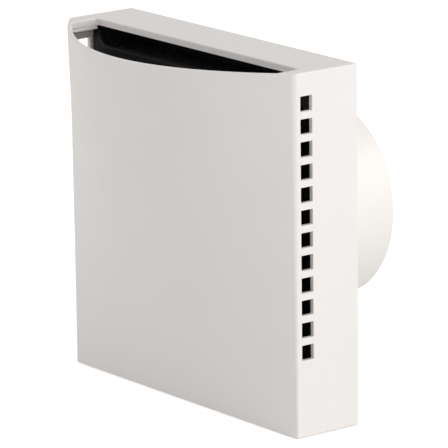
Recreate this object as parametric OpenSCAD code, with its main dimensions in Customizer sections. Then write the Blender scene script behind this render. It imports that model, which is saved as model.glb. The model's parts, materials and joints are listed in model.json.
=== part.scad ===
// Wall-mounted bathroom extractor fan for a round duct: square cover with a bowed front panel,
// black inner chassis, in-duct motor and impeller, and a butterfly backdraught shutter.
// Millimetres. Origin on the duct axis at the wall plane; X right, Y into the wall, Z up.

/* [Cover] */
// Width and height of the square cover
cover_size = 178; // [176:1:180]
// Depth of the cover's flat side walls
side_depth = 38; // [37:0.5:40]
// How far the front panel bows forward of the side walls at the top
bow = 39.2; // [36:0.2:42]
// How quickly the bow fades towards the bottom edge (1 is a straight taper)
bow_power = 1.4; // [1.2:0.1:2]
// Section of the bow: 0 is an arc of a circle and 1 is a parabola
bow_shape = 0.85; // [0:0.05:1]
// Thickness of the side walls
wall = 2.4; // [2:0.1:3]
// Thickness of the top wall
top_wall = 3.5; // [2.5:0.1:4]
// Thickness of the bowed front panel
skin = 2.2; // [1.8:0.1:2.6]

/* [Inlets] */
// Depth of the solid strip behind the top slot
slot_back = 28.6; // [27:0.1:30]
// Distance from the middle to the left end of the top slot
slot_left = 78.4; // [78.3:0.1:82]
// Distance from the middle to the right end of the top slot
slot_right = 81; // [79:0.5:82]
// Radius of the slot's two back corners
slot_corner_r = 1.5; // [0.5:0.5:2]
// How far the front panel's rim drops towards its middle
rim_drop = 0.9; // [0.5:0.1:1.5]
// Number of square vents in each side wall
vent_count = 12; // [6:1:12]
// Height of a vent
vent_h = 7.4; // [6:0.1:8]
// Depth of a vent
vent_d = 7; // [5:0.1:7.5]
// Distance between vent centres
vent_pitch = 11; // [10:0.1:11.5]

/* [Duct] */
// Outside diameter of the spigot, for a 100 mm duct
spigot_d = 99; // [98:0.5:99.5]
// Length of the spigot behind the wall plane
spigot_len = 56; // [54:1:60]
// Wall thickness of the spigot
spigot_wall = 2; // [1.8:0.1:2.2]

/* [Fan] */
// Number of impeller blades
blade_count = 7; // [5:1:8]
// Diameter of the motor shaft
shaft_d = 4; // [4:1:4]
// Radial running clearance of the bearings
run_gap = 0.03; // [0.02:0.01:0.06]

/* [Hidden] */
$fn = 72;
eps = 0.01;

// Cover
half = cover_size / 2;
arc_cols = 24;
arc_rows = 14;
vent_top = half - 15;
vent_front = side_depth - 3.5;
lip_h = 5.5;
rib_w = 2;

// Planes along Y, from the room towards the duct
chassis_front = -26.1;
grille_seat = -24.6;
plate_inside = -23.6;
plate_front = -3;
blade_front = -19.5;
blade_back = -6.5;
cup_mouth = -1;
cup_floor = 36;
cup_back = 38;

// Duct and motor radii
spigot_r = spigot_d / 2;
duct_r = spigot_r - spigot_wall;
ring_r = 47;
ring_out = 48.8;
flange_r = 50.6;
grille_r = 50;
cup_in = 27;
cup_out = 29;
stator_r = 25.5;
yoke_r = 19.5;
pole_r = 11;
bolt_ring = 22.5;
bolt_r = 1.5;
shaft_r = shaft_d / 2;
stack_front = 10;
stack_back = 26;

// Chassis
chassis_x = 85.4;
chassis_wall = 2;
flare_x = 73.4;
flare_z = 83.8;
flare_lip = 8.4;
flare_foam = 8.7;
flare_wall = 10.9;
foam_front = -23.4;
foam_side = 86.2;
foam_top = 84.7;

// Fixing points, each [x, z]
wall_fixings = [[-77, -77], [77, -77], [-77, 66], [77, 66]];
chassis_fixings = [[-66, 30], [66, 30], [-30, -68], [30, -68]];
lower_pegs = [[-55, -80.5], [55, -80.5]];
upper_pegs = [[-82, 66.2], [82, 66.2]];
lower_peg_r = 2.6;
upper_peg_r = 1.6;
peg_gap = 0.3;
peg_tip = -20;
socket_floor = -19;
wall_hole_r = 2.25;

// Filter cassette, held in the cover's guides
filter_x = 78;
filter_low = -76;
filter_top = 66;
filter_front = -34.4;
filter_back = -29.6;
filter_border = 6;
filter_bar = 1.2;
guide_heights = [44.5, 0.5, -54.5];

// Electronics
block_x = [46, 76];
block_z = [-62, -48];
block_y = [-17, -5];
way_pitch = 7;
ways = [for (i = [-1.5:1:1.5]) 61 + i * way_pitch];
clamp_axis = -10;
inlet_at = [43, -74];
grip_at = [[52.3, -68], [63.7, -68]];
cover_screw_at = [76, -56.5];
board_y = [-14, -12.4];
board_posts = [[-76, -41], [-47, -63], [-76, -63], [-47, -41]];
board_fixed = [[-76, -41], [-47, -63]];
timer_at = [-57.5, -42];
humidity_at = [-47.5, -51.5];
sensor_at = [-67, -41.5];

// Shutter
pin_y = 49.6;
pin_r = 1.25;
pin_half = 46.5;
knuckle_r = 2.2;
flap_r = 45.6;
flap_y = [48.1, 49.3];
left_knuckles = [[-38, -22], [6, 20]];
right_knuckles = [[-20, -6], [22, 38]];
spring_turns = 5;
spring_pitch = 0.9;
spring_r = 1.75;
wire_r = 0.25;
wire_sides = 6;
leg_z = [-2.9, 2.9];

// ---- Helpers ----

// Box between two corners, given as low and high along each axis
module block(x, y, z) {
    translate([x[0], y[0], z[0]]) cube([x[1] - x[0], y[1] - y[0], z[1] - z[0]]);
}

// Cylinder along Y through [x, z], between two depths
module rod(at, y, r) {
    translate([at[0], y[0], at[1]]) rotate([-90, 0, 0]) cylinder(h = y[1] - y[0], r = r);
}

// Tube along Y
module tube(at, y, r_out, r_in) {
    difference() {
        rod(at, y, r_out);
        rod(at, [y[0] - 1, y[1] + 1], r_in);
    }
}

// Solid of revolution about the duct axis; the profile's points are [radius, depth]
module turned(points) {
    rotate([-90, 0, 0]) rotate_extrude($fn = 144) polygon(points);
}

// Plate parallel to the wall, from a 2D outline in X and Z
module plate(y) {
    translate([0, y[1], 0]) rotate([90, 0, 0]) linear_extrude(y[1] - y[0]) children();
}

// Hexagonal nut with a plain hole
module nut(at, y, r_out, r_in) {
    difference() {
        translate([at[0], y[0], at[1]]) rotate([-90, 0, 0]) cylinder(h = y[1] - y[0], r = r_out, $fn = 6);
        rod(at, [y[0] - 1, y[1] + 1], r_in);
    }
}

// Pan-head screw that points along +Y, with a cross recess
module screw(at, head_y, tip_y, head_r, shank_r, head_h) {
    difference() {
        union() {
            rod(at, [head_y, head_y + head_h], head_r);
            rod(at, [head_y + head_h, tip_y], shank_r);
        }
        slot_w = head_r * 0.3;
        slot_l = head_r * 1.2;
        translate([at[0] - slot_l / 2, head_y - 1, at[1] - slot_w / 2])
            cube([slot_l, 1 + head_h * 0.5, slot_w]);
        translate([at[0] - slot_w / 2, head_y - 1, at[1] - slot_l / 2])
            cube([slot_w, 1 + head_h * 0.5, slot_l]);
    }
}

// Tube swept along points, as one closed solid with flat ends
module swept(points, r, sides) {
    last = len(points) - 1;
    tangents = [for (i = [0:last]) unit(points[min(i + 1, last)] - points[max(i - 1, 0)])];
    rings = [for (i = [0:last]) let (
            side = unit(cross(tangents[i], [0.12, 0.2, 1])),
            up = cross(side, tangents[i]))
        each [for (k = [0:sides - 1]) let (a = 360 * k / sides)
            points[i] + r * (cos(a) * side + sin(a) * up)]];
    skin_faces = [for (i = [0:last - 1], k = [0:sides - 1]) let (
            a = i * sides + k,
            b = i * sides + (k + 1) % sides)
        each [[a, b, b + sides], [a, b + sides, a + sides]]];
    cap_a = [for (k = [sides - 1:-1:0]) k];
    cap_b = [for (k = [0:sides - 1]) last * sides + k];
    polyhedron(rings, concat(skin_faces, [cap_a, cap_b]), convexity = 10);
}

function unit(v) = v / norm(v);

// ---- Front cover ----

// Sagitta of the front panel at height z
function sagitta(z) =
    let (t = (min(z, half) + half) / cover_size) max(0.02, bow * (1 - pow(1 - t, bow_power)));

// Depth of the front panel at [x, z]; inset moves the surface inwards along its normal
function panel_y(x, z, inset) =
    let (s = sagitta(z), r = (half * half + s * s) / (2 * s), run = sqrt(r * r - x * x),
        rise = (1 - bow_shape) * (run - (r - s)) + bow_shape * s * (1 - x * x / (half * half)),
        slope = (1 - bow_shape) * x / run + bow_shape * 2 * s * x / (half * half))
    -side_depth - rise + inset * sqrt(1 + slope * slope);

// Solid between a flat back and the bowed panel surface
module bowed_solid(x_half, heights, back, inset) {
    cols = arc_cols + 3;
    rows = len(heights);
    points = [for (z = heights) each concat(
        [[-x_half, back, z]],
        [for (i = [0:arc_cols]) let (x = x_half * (2 * i / arc_cols - 1)) [x, panel_y(x, z, inset), z]],
        [[x_half, back, z]])];
    sides = [for (j = [0:rows - 2], i = [0:cols - 1]) let (
            a = j * cols + i,
            b = j * cols + (i + 1) % cols)
        each [[a, a + cols, b + cols], [a, b + cols, b]]];
    low_cap = [for (i = [0:cols - 1]) i];
    high_cap = [for (i = [cols - 1:-1:0]) (rows - 1) * cols + i];
    polyhedron(points, concat(sides, [low_cap, high_cap]), convexity = 6);
}

module cover_guides() {
    for (side = [-1, 1], z = guide_heights) {
        difference() {
            block(side > 0 ? [75.5, 80.5] : [-80.5, -75.5], [-75, -27.4], [z - 1.5, z + 1.5]);
            block([-filter_x - 0.3, filter_x + 0.3], [-34.9, -28.9], [z - 2, z + 2]);
        }
    }
    for (x = [-42, 38]) {
        block([x, x + 4], [-75, -28.2], [-78.5, filter_low]);
    }
}

// Reach of the top slot on one side
function slot_reach(side) = side > 0 ? slot_right : slot_left;

// Material left in a back corner of the top slot
module slot_corner(side) {
    edge = slot_reach(side);
    difference() {
        block(side > 0 ? [edge - slot_corner_r, edge + 1] : [-edge - 1, -edge + slot_corner_r],
            [-slot_back - slot_corner_r, -slot_back + 1], [half - lip_h - 2, half + 2]);
        translate([side * (edge - slot_corner_r), -slot_back - slot_corner_r, half - lip_h - 3])
            cylinder(h = lip_h + 6, r = slot_corner_r);
    }
}

// Wedge above the front panel's rim
module rim_cut() {
    slope = rim_drop / bow;
    rotate([90, 0, 90]) linear_extrude(cover_size + 4, center = true)
        polygon([[-side_depth + 20, half + 20 * slope], [-side_depth - 60, half - 60 * slope],
            [-side_depth - 60, half + 4], [-side_depth + 20, half + 4]]);
}

module front_cover() {
    heights = [for (j = [0:arc_rows]) -half + cover_size * j / arc_rows];
    cavity_top = half - top_wall;
    cavity_low = -half + wall;
    cavity_heights = [for (j = [0:arc_rows]) cavity_low + (cavity_top - cavity_low) * j / arc_rows];
    color("whitesmoke") difference() {
        bowed_solid(half, heights, 0, 0);
        difference() {
            bowed_solid(half - wall, cavity_heights, 1, skin);
            for (p = lower_pegs) rod(p, [-75, peg_tip], lower_peg_r);
            for (p = upper_pegs) rod(p, [-75, peg_tip], upper_peg_r);
            cover_guides();
            for (side = [-1, 1]) {
                edge = slot_reach(side);
                block(side > 0 ? [edge, edge + rib_w] : [-edge - rib_w, -edge], [-60, -slot_back], [half - lip_h, half]);
            }
        }
        difference() {
            intersection() {
                bowed_solid(slot_right, [half - lip_h - 1, half - top_wall, half, half + 1], -slot_back, skin);
                block([-slot_left, slot_right], [-90, 0], [half - lip_h - 2, half + 2]);
            }
            for (side = [-1, 1]) slot_corner(side);
        }
        rim_cut();
        for (side = [-1, 1], i = [0:vent_count - 1]) {
            z = vent_top - i * vent_pitch;
            block(side > 0 ? [half - wall - 1, half + 1] : [-half - 1, -half + wall + 1],
                [-vent_front, -vent_front + vent_d], [z - vent_h / 2, z + vent_h / 2]);
        }
    }
}

// ---- Filter cassette ----

module filter_frame() {
    inner_x = filter_x - filter_border;
    color("dimgray") {
        difference() {
            block([-filter_x, filter_x], [filter_front, filter_back], [filter_low, filter_top]);
            block([-inner_x, inner_x], [filter_front - 1, filter_back + 1],
                [filter_low + filter_border, filter_top - filter_border]);
        }
        for (y = [filter_front, filter_back - filter_bar]) {
            for (x = [-36, 0, 36]) block([x - 1, x + 1], [y, y + filter_bar], [filter_low + 3, filter_top - 3]);
            for (z = [-41, -5, 31]) block([-inner_x - 2, inner_x + 2], [y, y + filter_bar], [z - 1, z + 1]);
        }
        block([-14, 14], [-33.4, -30.6], [filter_top - eps, filter_top + 4.5]);
    }
}

module filter_media() {
    inner_x = filter_x - filter_border;
    color("darkslategray") block([-inner_x, inner_x], [filter_front + filter_bar, filter_back - filter_bar],
        [filter_low + filter_border, filter_top - filter_border]);
}

// ---- Wall plate, the spigot pressed into it by its flange, and the motor holder inside the spigot ----

module wall_plate() {
    color("white") difference() {
        union() {
            block([-86, 86], [plate_front, 0], [-86, 84.9]);
            for (p = board_posts) rod(p, [board_y[1], plate_front + eps], 2.5);
            for (p = grip_at) rod(p, [-6, plate_front + eps], 2.4);
            for (x = [49, 73]) block([x - 2, x + 2], [block_y[1], plate_front + eps], [-58, -52]);
        }
        rod([0, 0], [plate_front - 1, 1], flange_r);
        turned([[52, -1.2], [58, -1.2], [58, 1], [52, 1]]);
        for (p = wall_fixings) rod(p, [plate_front - 1, 1], wall_hole_r);
        for (p = chassis_fixings) rod(p, [plate_front - 1, -0.8], 1.5);
        for (p = board_fixed) rod(p, [board_y[1] - 1, -5], 1.1);
        for (p = grip_at) rod(p, [-7, -2], 1.2);
        rod(inlet_at, [plate_front - 1, 1], 6);
        rod(inlet_at, [-0.8, 1], 6.6);
        rotate([0, 45, 0]) block([spigot_r - 2, 57], [plate_front - 1, -0.8], [-1.6, 1.6]);
    }
}

module duct_spigot() {
    color("white") difference() {
        union() {
            turned([[duct_r, plate_front], [flange_r, plate_front], [flange_r, 0], [spigot_r, 0], [spigot_r, spigot_len - 1],
                [spigot_r - 0.8, spigot_len], [duct_r + 0.4, spigot_len], [duct_r, spigot_len - 0.4],
                [duct_r, 47.7], [duct_r - 4, 47.7], [duct_r - 4, 46], [duct_r, 46]]);
            for (s = [-1, 1]) {
                block([-2.4, 2.4], [47.6, 51.6], s > 0 ? [43.8, 48] : [-48, -43.8]);
            }
        }
        rotate([0, 45, 0]) block([duct_r - 1, flange_r + 1], [plate_front - 1, -0.8], [-1.6, 1.6]);
        translate([0, pin_y, 0]) cylinder(h = 2 * pin_half, r = pin_r, center = true);
    }
}

// Cup round the motor on four struts that reach the spigot's wall
module motor_holder() {
    color("white") difference() {
        union() {
            turned([[cup_in, cup_mouth], [cup_out, cup_mouth], [cup_out, cup_back], [0, cup_back],
                [0, cup_floor], [cup_in, cup_floor]]);
            for (a = [45:90:315]) {
                rotate([0, a, 0]) block([cup_out - 0.5, duct_r], [2.6, 34], [-1.1, 1.1]);
            }
        }
        rod([0, 0], [cup_floor - 1, cup_back + 1], 4);
        for (a = [45:90:315]) {
            rod([bolt_ring * cos(a), bolt_ring * sin(a)], [cup_floor - 1, cup_back + 1], bolt_r + 0.6);
        }
    }
}

// ---- Inner chassis ----

// Outline in X and Z; level is the radius of the curve that lifts the top edge at each side
module chassis_outline(level, x_half, low, tip_limit) {
    reach = min(tip_limit, x_half - flare_x);
    tip = asin(reach / level);
    right = [for (a = [0:tip / 8:tip + 0.001]) [flare_x + level * sin(a), flare_z - level * cos(a)]];
    tip_z = flare_z - level * cos(tip);
    outline = concat([[0, low], [x_half, low], [x_half, tip_z]],
        [for (i = [len(right) - 1:-1:0]) right[i]], [[0, flare_z - level]]);
    polygon(outline);
    mirror([1, 0]) polygon(outline);
}

module inner_chassis() {
    color("black") difference() {
        union() {
            plate([chassis_front, plate_inside])
                chassis_outline(flare_lip, chassis_x, -chassis_x, flare_lip * sin(80));
            difference() {
                plate([plate_inside - eps, plate_front]) chassis_outline(flare_wall, chassis_x, -chassis_x, 9);
                plate([plate_inside - 1, plate_front + 1]) chassis_outline(flare_wall + chassis_wall,
                    chassis_x - chassis_wall, -chassis_x + chassis_wall, 9);
            }
            turned([[ring_r, plate_front], [ring_r, -20.6],
                for (a = [15:15:90]) [ring_r + 2 * (1 - cos(a)), -20.6 - 4 * sin(a)],
                [52, grille_seat], [52, -20], [ring_out, -20], [ring_out, plate_front]]);
            for (p = wall_fixings) rod(p, [plate_inside - eps, plate_front], 6.5);
            for (p = chassis_fixings) rod(p, [plate_inside - eps, plate_front], 4.4);
            for (p = lower_pegs) rod(p, [plate_inside - eps, socket_floor + 1.5], lower_peg_r + peg_gap + 1.6);
            for (p = upper_pegs) rod(p, [plate_inside - eps, socket_floor + 1.5], upper_peg_r + peg_gap + 1.4);
            rod(cover_screw_at, [plate_inside - eps, -18], 3.5);
        }
        turned([[0, chassis_front - 1], [grille_r + 0.2, chassis_front - 1], [grille_r + 0.2, grille_seat],
            [ring_r + 2, grille_seat], [ring_r + 2, -24], [ring_r, -20.6], [ring_r - 1, 0], [0, 0]]);
        for (p = wall_fixings) rod(p, [chassis_front - 1, 0], 5);
        for (p = chassis_fixings) {
            rod(p, [chassis_front - 1, -8], 3.3);
            rod(p, [-9, 0], 1.6);
        }
        for (p = lower_pegs) rod(p, [chassis_front - 1, socket_floor], lower_peg_r + peg_gap);
        for (p = upper_pegs) rod(p, [chassis_front - 1, socket_floor], upper_peg_r + peg_gap);
        difference() {
            block([43, 77], [chassis_front - 1, plate_inside + 1], [-68, -45]);
            rod(cover_screw_at, [chassis_front - 2, 0], 3.5);
        }
        block([41, 79], [chassis_front - 1, -24.3], [-70, -43]);
        rod(cover_screw_at, [chassis_front - 1, -19], 1.2);
        for (p = [timer_at, humidity_at]) rod(p, [chassis_front - 1, plate_inside + 1], 3.6);
        for (z = [-2.4, 0, 2.4]) {
            block([sensor_at[0] - 4, sensor_at[0] + 4], [chassis_front - 1, plate_inside + 1],
                [sensor_at[1] + z - 0.6, sensor_at[1] + z + 0.6]);
        }
        rotate([0, 45, 0]) block([ring_r - 1, ring_out + 1], [-4.2, 0], [-1.6, 1.6]);
    }
}

// Strip on top of the chassis that turns up against the wall plate, with a pad at each end
module acoustic_foam() {
    color("#202020") {
        plate([foam_front, -3.4]) difference() {
            chassis_outline(flare_foam, chassis_x - 0.2, 60, flare_foam * sin(78));
            chassis_outline(flare_wall, chassis_x + 1, 59, 9);
        }
        plate([-6, -3.4]) difference() {
            translate([-foam_side, flare_z - flare_wall - 1]) square([2 * foam_side, foam_top - (flare_z - flare_wall - 1)]);
            chassis_outline(flare_wall, chassis_x + 1, 59, 9);
        }
        for (side = [-1, 1]) {
            block(side > 0 ? [81.5, foam_side] : [-foam_side, -81.5], [foam_front, -3.4], [80, foam_top]);
        }
    }
}

module inlet_grille() {
    color("black") {
        tube([0, 0], [chassis_front, grille_seat], grille_r, grille_r - 2.2);
        for (r = [38.5, 29, 19.5]) tube([0, 0], [chassis_front, -24], r + 0.8, r - 0.8);
        rod([0, 0], [chassis_front, -24], 7);
        for (a = [0:45:315]) {
            rotate([0, a, 0]) block([5, grille_r - 1], [chassis_front, grille_seat], [-1, 1]);
        }
    }
}

module wall_seal() {
    color("#303030") turned([[52, -1.2], [58, -1.2], [58, 0], [52, 0]]);
}

module chassis_screws() {
    color("silver") for (p = chassis_fixings) screw(p, -10, -0.9, 3, 1.5, 2);
}

// ---- Impeller ----

blade_root = 27.2;
blade_tip = 45.3;
blade_cols = 8;
blade_rows = 4;

// Point on a blade: u runs along the chord, v from root to tip, side is -1 or 1
function blade_point(u, v, side) =
    let (
        r = blade_root + (blade_tip - blade_root) * v,
        chord = 29 + 4 * v,
        angle = chord * (u - 0.5) + 7 * 4 * u * (1 - u) * 0.35 + 9 * v * v,
        depth = blade_front + (blade_back - blade_front) * u,
        pitch = atan((blade_back - blade_front) / (r * chord * PI / 180)),
        half_t = 0.25 + 0.5 * sin(180 * u),
        a = angle - side * half_t * sin(pitch) * 180 / (PI * r))
    [r * cos(a), depth + side * half_t * cos(pitch), r * sin(a)];

module blade() {
    n = blade_cols + 1;
    m = blade_rows + 1;
    points = [for (side = [-1, 1], j = [0:blade_rows], i = [0:blade_cols])
        blade_point(i / blade_cols, j / blade_rows, side)];
    faces_low = [for (j = [0:blade_rows - 1], i = [0:blade_cols - 1]) let (a = j * n + i)
        each [[a, a + n, a + n + 1], [a, a + n + 1, a + 1]]];
    faces_high = [for (f = faces_low) [f[2] + n * m, f[1] + n * m, f[0] + n * m]];
    root = [for (i = [0:blade_cols - 1]) each [[i, i + 1, i + 1 + n * m], [i, i + 1 + n * m, i + n * m]]];
    tip = [for (i = [0:blade_cols - 1]) let (a = blade_rows * n + i)
        each [[a, a + n * m, a + 1 + n * m], [a, a + 1 + n * m, a + 1]]];
    lead = [for (j = [0:blade_rows - 1]) let (a = j * n)
        each [[a, a + n * m, a + n + n * m], [a, a + n + n * m, a + n]]];
    trail = [for (j = [0:blade_rows - 1]) let (a = j * n + blade_cols)
        each [[a, a + n, a + n + n * m], [a, a + n + n * m, a + n * m]]];
    outward = [for (f = concat(faces_low, faces_high, root, tip, lead, trail)) [f[2], f[1], f[0]]];
    polyhedron(points, outward, convexity = 4);
}

module impeller() {
    color("whitesmoke") {
        turned([[shaft_r, -20], [27, -20], [28, -19], [28, -6], [26, -6], [26, -17.8], [5, -17.8],
            [5, -8], [shaft_r, -8]]);
        for (k = [0:blade_count - 1]) rotate([0, 360 * k / blade_count, 0]) blade();
    }
}

module impeller_nut() {
    color("goldenrod") nut([0, 0], [-22.4, -20], 4, shaft_r);
}

// ---- Motor ----

module motor_shaft() {
    color("silver") rod([0, 0], [-22.8, 34.6], shaft_r);
}

module rotor_core() {
    color("gray") tube([0, 0], [stack_front, stack_back], 10.6, shaft_r);
}

module rotor_end_rings() {
    color("lightgray") {
        tube([0, 0], [stack_front - 2, stack_front], 10.2, 6);
        tube([0, 0], [stack_back, stack_back + 2], 10.2, 6);
    }
}

module thrust_washers() {
    color("saddlebrown") {
        tube([0, 0], [7.2, 7.7], 4.5, shaft_r);
        tube([0, 0], [28.3, 28.8], 4.5, shaft_r);
    }
}

module at_poles() {
    for (a = [0:90:270]) rotate([0, a, 0]) children();
}

module at_bolts() {
    for (a = [45:90:315]) translate([bolt_ring * cos(a), 0, bolt_ring * sin(a)]) children();
}

module stator_core() {
    color("slategray") difference() {
        union() {
            tube([0, 0], [stack_front, stack_back], stator_r, yoke_r);
            at_poles() block([pole_r, yoke_r + 1], [stack_front, stack_back], [-4.5, 4.5]);
            intersection() {
                tube([0, 0], [stack_front, stack_back], 13.4, pole_r - 1);
                at_poles() block([8, 14], [stack_front, stack_back], [-7, 7]);
            }
        }
        rod([0, 0], [stack_front - 1, stack_back + 1], pole_r);
        at_bolts() rod([0, 0], [stack_front - 1, stack_back + 1], bolt_r + 0.1);
    }
}

module pole_frame(radial, width, depth, hole_width, hole_depth) {
    at_poles() difference() {
        block(radial, [18 - depth / 2, 18 + depth / 2], [-width / 2, width / 2]);
        block([radial[0] - 1, radial[1] + 1], [18 - hole_depth / 2, 18 + hole_depth / 2],
            [-hole_width / 2, hole_width / 2]);
    }
}

module coil_bobbins() {
    color("ivory") {
        pole_frame([13.6, 18.6], 10.8, 17.8, 9.1, 16.1);
        pole_frame([13.6, 14.2], 14.6, 24, 9.1, 16.1);
        pole_frame([17.2, 17.8], 15, 24, 9.1, 16.1);
    }
}

module stator_windings() {
    color("peru") pole_frame([14.2, 17.2], 14, 23.4, 10.8, 17.8);
}

module front_bearing() {
    color("darkgoldenrod") tube([0, 0], [2, 7], 5, shaft_r + run_gap);
}

module rear_bearing() {
    color("darkgoldenrod") tube([0, 0], [29, 34], 5, shaft_r + run_gap);
}

// Bearing bracket: cup at y_cup, web at y_web, bosses at y_boss, legs at y_leg
module bracket(y_cup, y_web, y_boss, y_leg) {
    difference() {
        union() {
            rod([0, 0], y_cup, 6.5);
            for (a = [45, 135]) rotate([0, a, 0]) block([-bolt_ring, bolt_ring], y_web, [-3.2, 3.2]);
            at_bolts() rod([0, 0], y_boss, 4);
            at_bolts() rod([0, 0], y_leg, 3);
        }
        rod([0, 0], [y_cup[0] - 1, y_cup[1] + 1], 5);
        at_bolts() rod([0, 0], [-5, 40], bolt_r + 0.1);
    }
}

module front_bracket() {
    color("lightsteelblue") bracket([2, 7], [3.2, 4.4], [3, 4.8], [4.8 - eps, stack_front]);
}

module rear_bracket() {
    color("lightsteelblue") bracket([29, 34], [31.6, 32.8], [31.2, 33], [stack_back, 31.2 + eps]);
}

module motor_bolts() {
    color("silver") at_bolts() screw([0, 0], 1, 42, 2.8, bolt_r, 2);
}

module motor_nuts() {
    color("silver") at_bolts() nut([0, 0], [38.5, 40.9], 3.1, bolt_r);
}

module isolation_mounts() {
    color("#262626") at_bolts() {
        tube([0, 0], [33, cup_floor], 4.2, bolt_r);
        tube([0, 0], [cup_floor, cup_back], 2.1, bolt_r);
        tube([0, 0], [cup_back, 38.5], 4.2, bolt_r);
    }
}

// Lead from the windings along a strut to the terminal block; corners are [radius, offset, depth] beside the strut's line
lead_r = 1.2;
lead_inner = [[18.6, 5, 5.6], [18.8, 5, 3], [19.4, 4.8, 0.6], [20.8, 4.2, -1.4], [23, 2.8, -2.3], [26, 1, -2.4],
    [30, 0, -2.4], [48, 0, -2.4], [52, 0, -2.6], [55, 0, -3.6], [58, 0, -5.2], [62, 0, -6.4]];
lead_outer = [[46.8, -7.4, -44.9], [49.2, -8.8, -46], [50.4, -9.8, -47.8], [50.5, -10, -49.6]];

module motor_lead() {
    along = [for (p = lead_inner) [(p[0] + p[1]) * cos(45), p[2], (p[1] - p[0]) * sin(45)]];
    color("black") swept(concat(along, lead_outer), lead_r, 8);
}

// ---- Terminals and cable entry ----

module terminal_block() {
    color("ivory") difference() {
        block(block_x, block_y, block_z);
        for (x = ways) {
            rod([x, -55], [block_y[0] - 1, clamp_axis], 2.2);
            translate([x, clamp_axis, block_z[0] - 1]) cylinder(h = block_z[1] - block_z[0] + 2, r = 2.4);
        }
    }
}

module terminal_clamps() {
    color("goldenrod") for (x = ways) difference() {
        translate([x, clamp_axis, -60]) cylinder(h = 10, r = 2.4);
        translate([x, clamp_axis, -61]) cylinder(h = 12, r = 1.6);
        rod([x, -55], [-15, clamp_axis], 1.2);
    }
}

module terminal_screws() {
    color("silver") for (x = ways) screw([x, -55], -15.6, -11, 1.9, 1.2, 2);
}

module terminal_cover() {
    color("black") difference() {
        block([41.2, 78.8], [chassis_front, -24.3], [-69.8, -43.2]);
        rod(cover_screw_at, [chassis_front - 1, -24], 1.4);
        rod(cover_screw_at, [chassis_front - 1, -25], 2.7);
    }
}

module terminal_cover_screw() {
    color("silver") screw(cover_screw_at, -26, -19.2, 2.5, 1.2, 1);
}

module cable_grommet() {
    color("#262626") translate([inlet_at[0], 0, inlet_at[1]]) turned([[4, -4.5], [7.4, -4.5], [7.8, -4], [7.8, -3],
        [6, -3], [6, -0.8], [6.6, -0.8], [6.6, 0], [4, 0]]);
}

module cable_clamp() {
    color("white") difference() {
        block([49.6, 66.4], [-8.5, -6], [-70.6, -65.4]);
        for (p = grip_at) rod(p, [-10, -5], 1.3);
    }
}

module clamp_screws() {
    color("silver") for (p = grip_at) screw(p, -10.3, -2.2, 2.3, 1.2, 1.8);
}

// ---- Timer board ----

module timer_board() {
    color("darkgreen") difference() {
        block([-80, -43], board_y, [-67, -37]);
        for (p = board_fixed) rod(p, [board_y[0] - 1, board_y[1] + 1], 1.2);
    }
}

module board_screws() {
    color("silver") for (p = board_fixed) screw(p, board_y[0] - 1.6, -5.4, 2.2, 1.1, 1.6);
}

module relay() {
    color("royalblue") block([-79, -64], [-23, board_y[0]], [-58, -47.6]);
}

module film_capacitor() {
    color("gold") block([-67, -54], [-22, board_y[0]], [-66.4, -60.4]);
}

module smoothing_capacitor() {
    color("#202040") rod([-58.5, -52.6], [-23, board_y[0]], 3.5);
}

module trimmer_bodies() {
    color("royalblue") for (p = [timer_at, humidity_at]) difference() {
        block([p[0] - 3.6, p[0] + 3.6], [-19, board_y[0]], [p[1] - 3.6, p[1] + 3.6]);
        rod(p, [-20, -15.5], 2.55);
    }
}

// Trimmer spindle with a screwdriver slot
module trimmer(at) {
    difference() {
        union() {
            rod(at, [-19.6, -15.7], 2.5);
            rod(at, [-23, -19.6], 3);
        }
        block([at[0] - 2.4, at[0] + 2.4], [-24, -21.6], [at[1] - 0.5, at[1] + 0.5]);
    }
}

module timer_trimmer() {
    color("white") trimmer(timer_at);
}

module humidity_trimmer() {
    color("white") trimmer(humidity_at);
}

module humidity_sensor() {
    color("white") difference() {
        block([sensor_at[0] - 5, sensor_at[0] + 4.6], [-22, board_y[0]], [sensor_at[1] - 4, sensor_at[1] + 3.8]);
        for (x = [-3, -1, 1, 3]) {
            block([sensor_at[0] + x - 0.5, sensor_at[0] + x + 0.5], [-23, -20.5], [sensor_at[1] - 3, sensor_at[1] + 3]);
        }
    }
}

// ---- Backdraught shutter ----

module shutter_pin() {
    color("silver") translate([0, pin_y, 0]) cylinder(h = 2 * pin_half, r = pin_r, center = true);
}

// One half of the butterfly; side is -1 for the left flap and 1 for the right
module flap(side, own, other) {
    difference() {
        union() {
            intersection() {
                rod([0, 0], flap_y, flap_r);
                block(side > 0 ? [0.7, flap_r] : [-flap_r, -0.7], [40, 60], [-flap_r, flap_r]);
            }
            for (k = own) translate([0, pin_y, k[0]]) cylinder(h = k[1] - k[0], r = knuckle_r);
            for (z = [-30, -13, 13, 30]) {
                block(side > 0 ? [6, 40 - abs(z) / 3] : [-40 + abs(z) / 3, -6], [49.2, 50.4], [z - 0.6, z + 0.6]);
            }
        }
        for (k = other) block([-2.8, 2.8], [45, 55], [k[0] - 0.4, k[1] + 0.4]);
        block([-2.8, 2.8], [45, 55], [-5.6, 5.6]);
        for (s = [-1, 1]) block([-4.6, 4.6], [45, 55], s > 0 ? [43.2, 47] : [-47, -43.2]);
        translate([0, pin_y, 0]) cylinder(h = 100, r = pin_r + 0.05, center = true);
    }
}

module left_flap() {
    color("whitesmoke") flap(-1, left_knuckles, right_knuckles);
}

module right_flap() {
    color("whitesmoke") flap(1, right_knuckles, left_knuckles);
}

// Torsion spring coiled loosely round the pin
module shutter_spring() {
    steps = spring_turns * 14;
    color("silver") swept([for (i = [0:steps]) let (a = 360 * i / 14)
        [spring_r * cos(a), pin_y + spring_r * sin(a), spring_pitch * spring_turns * (i / steps - 0.5)]],
        wire_r, wire_sides);
}

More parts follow.
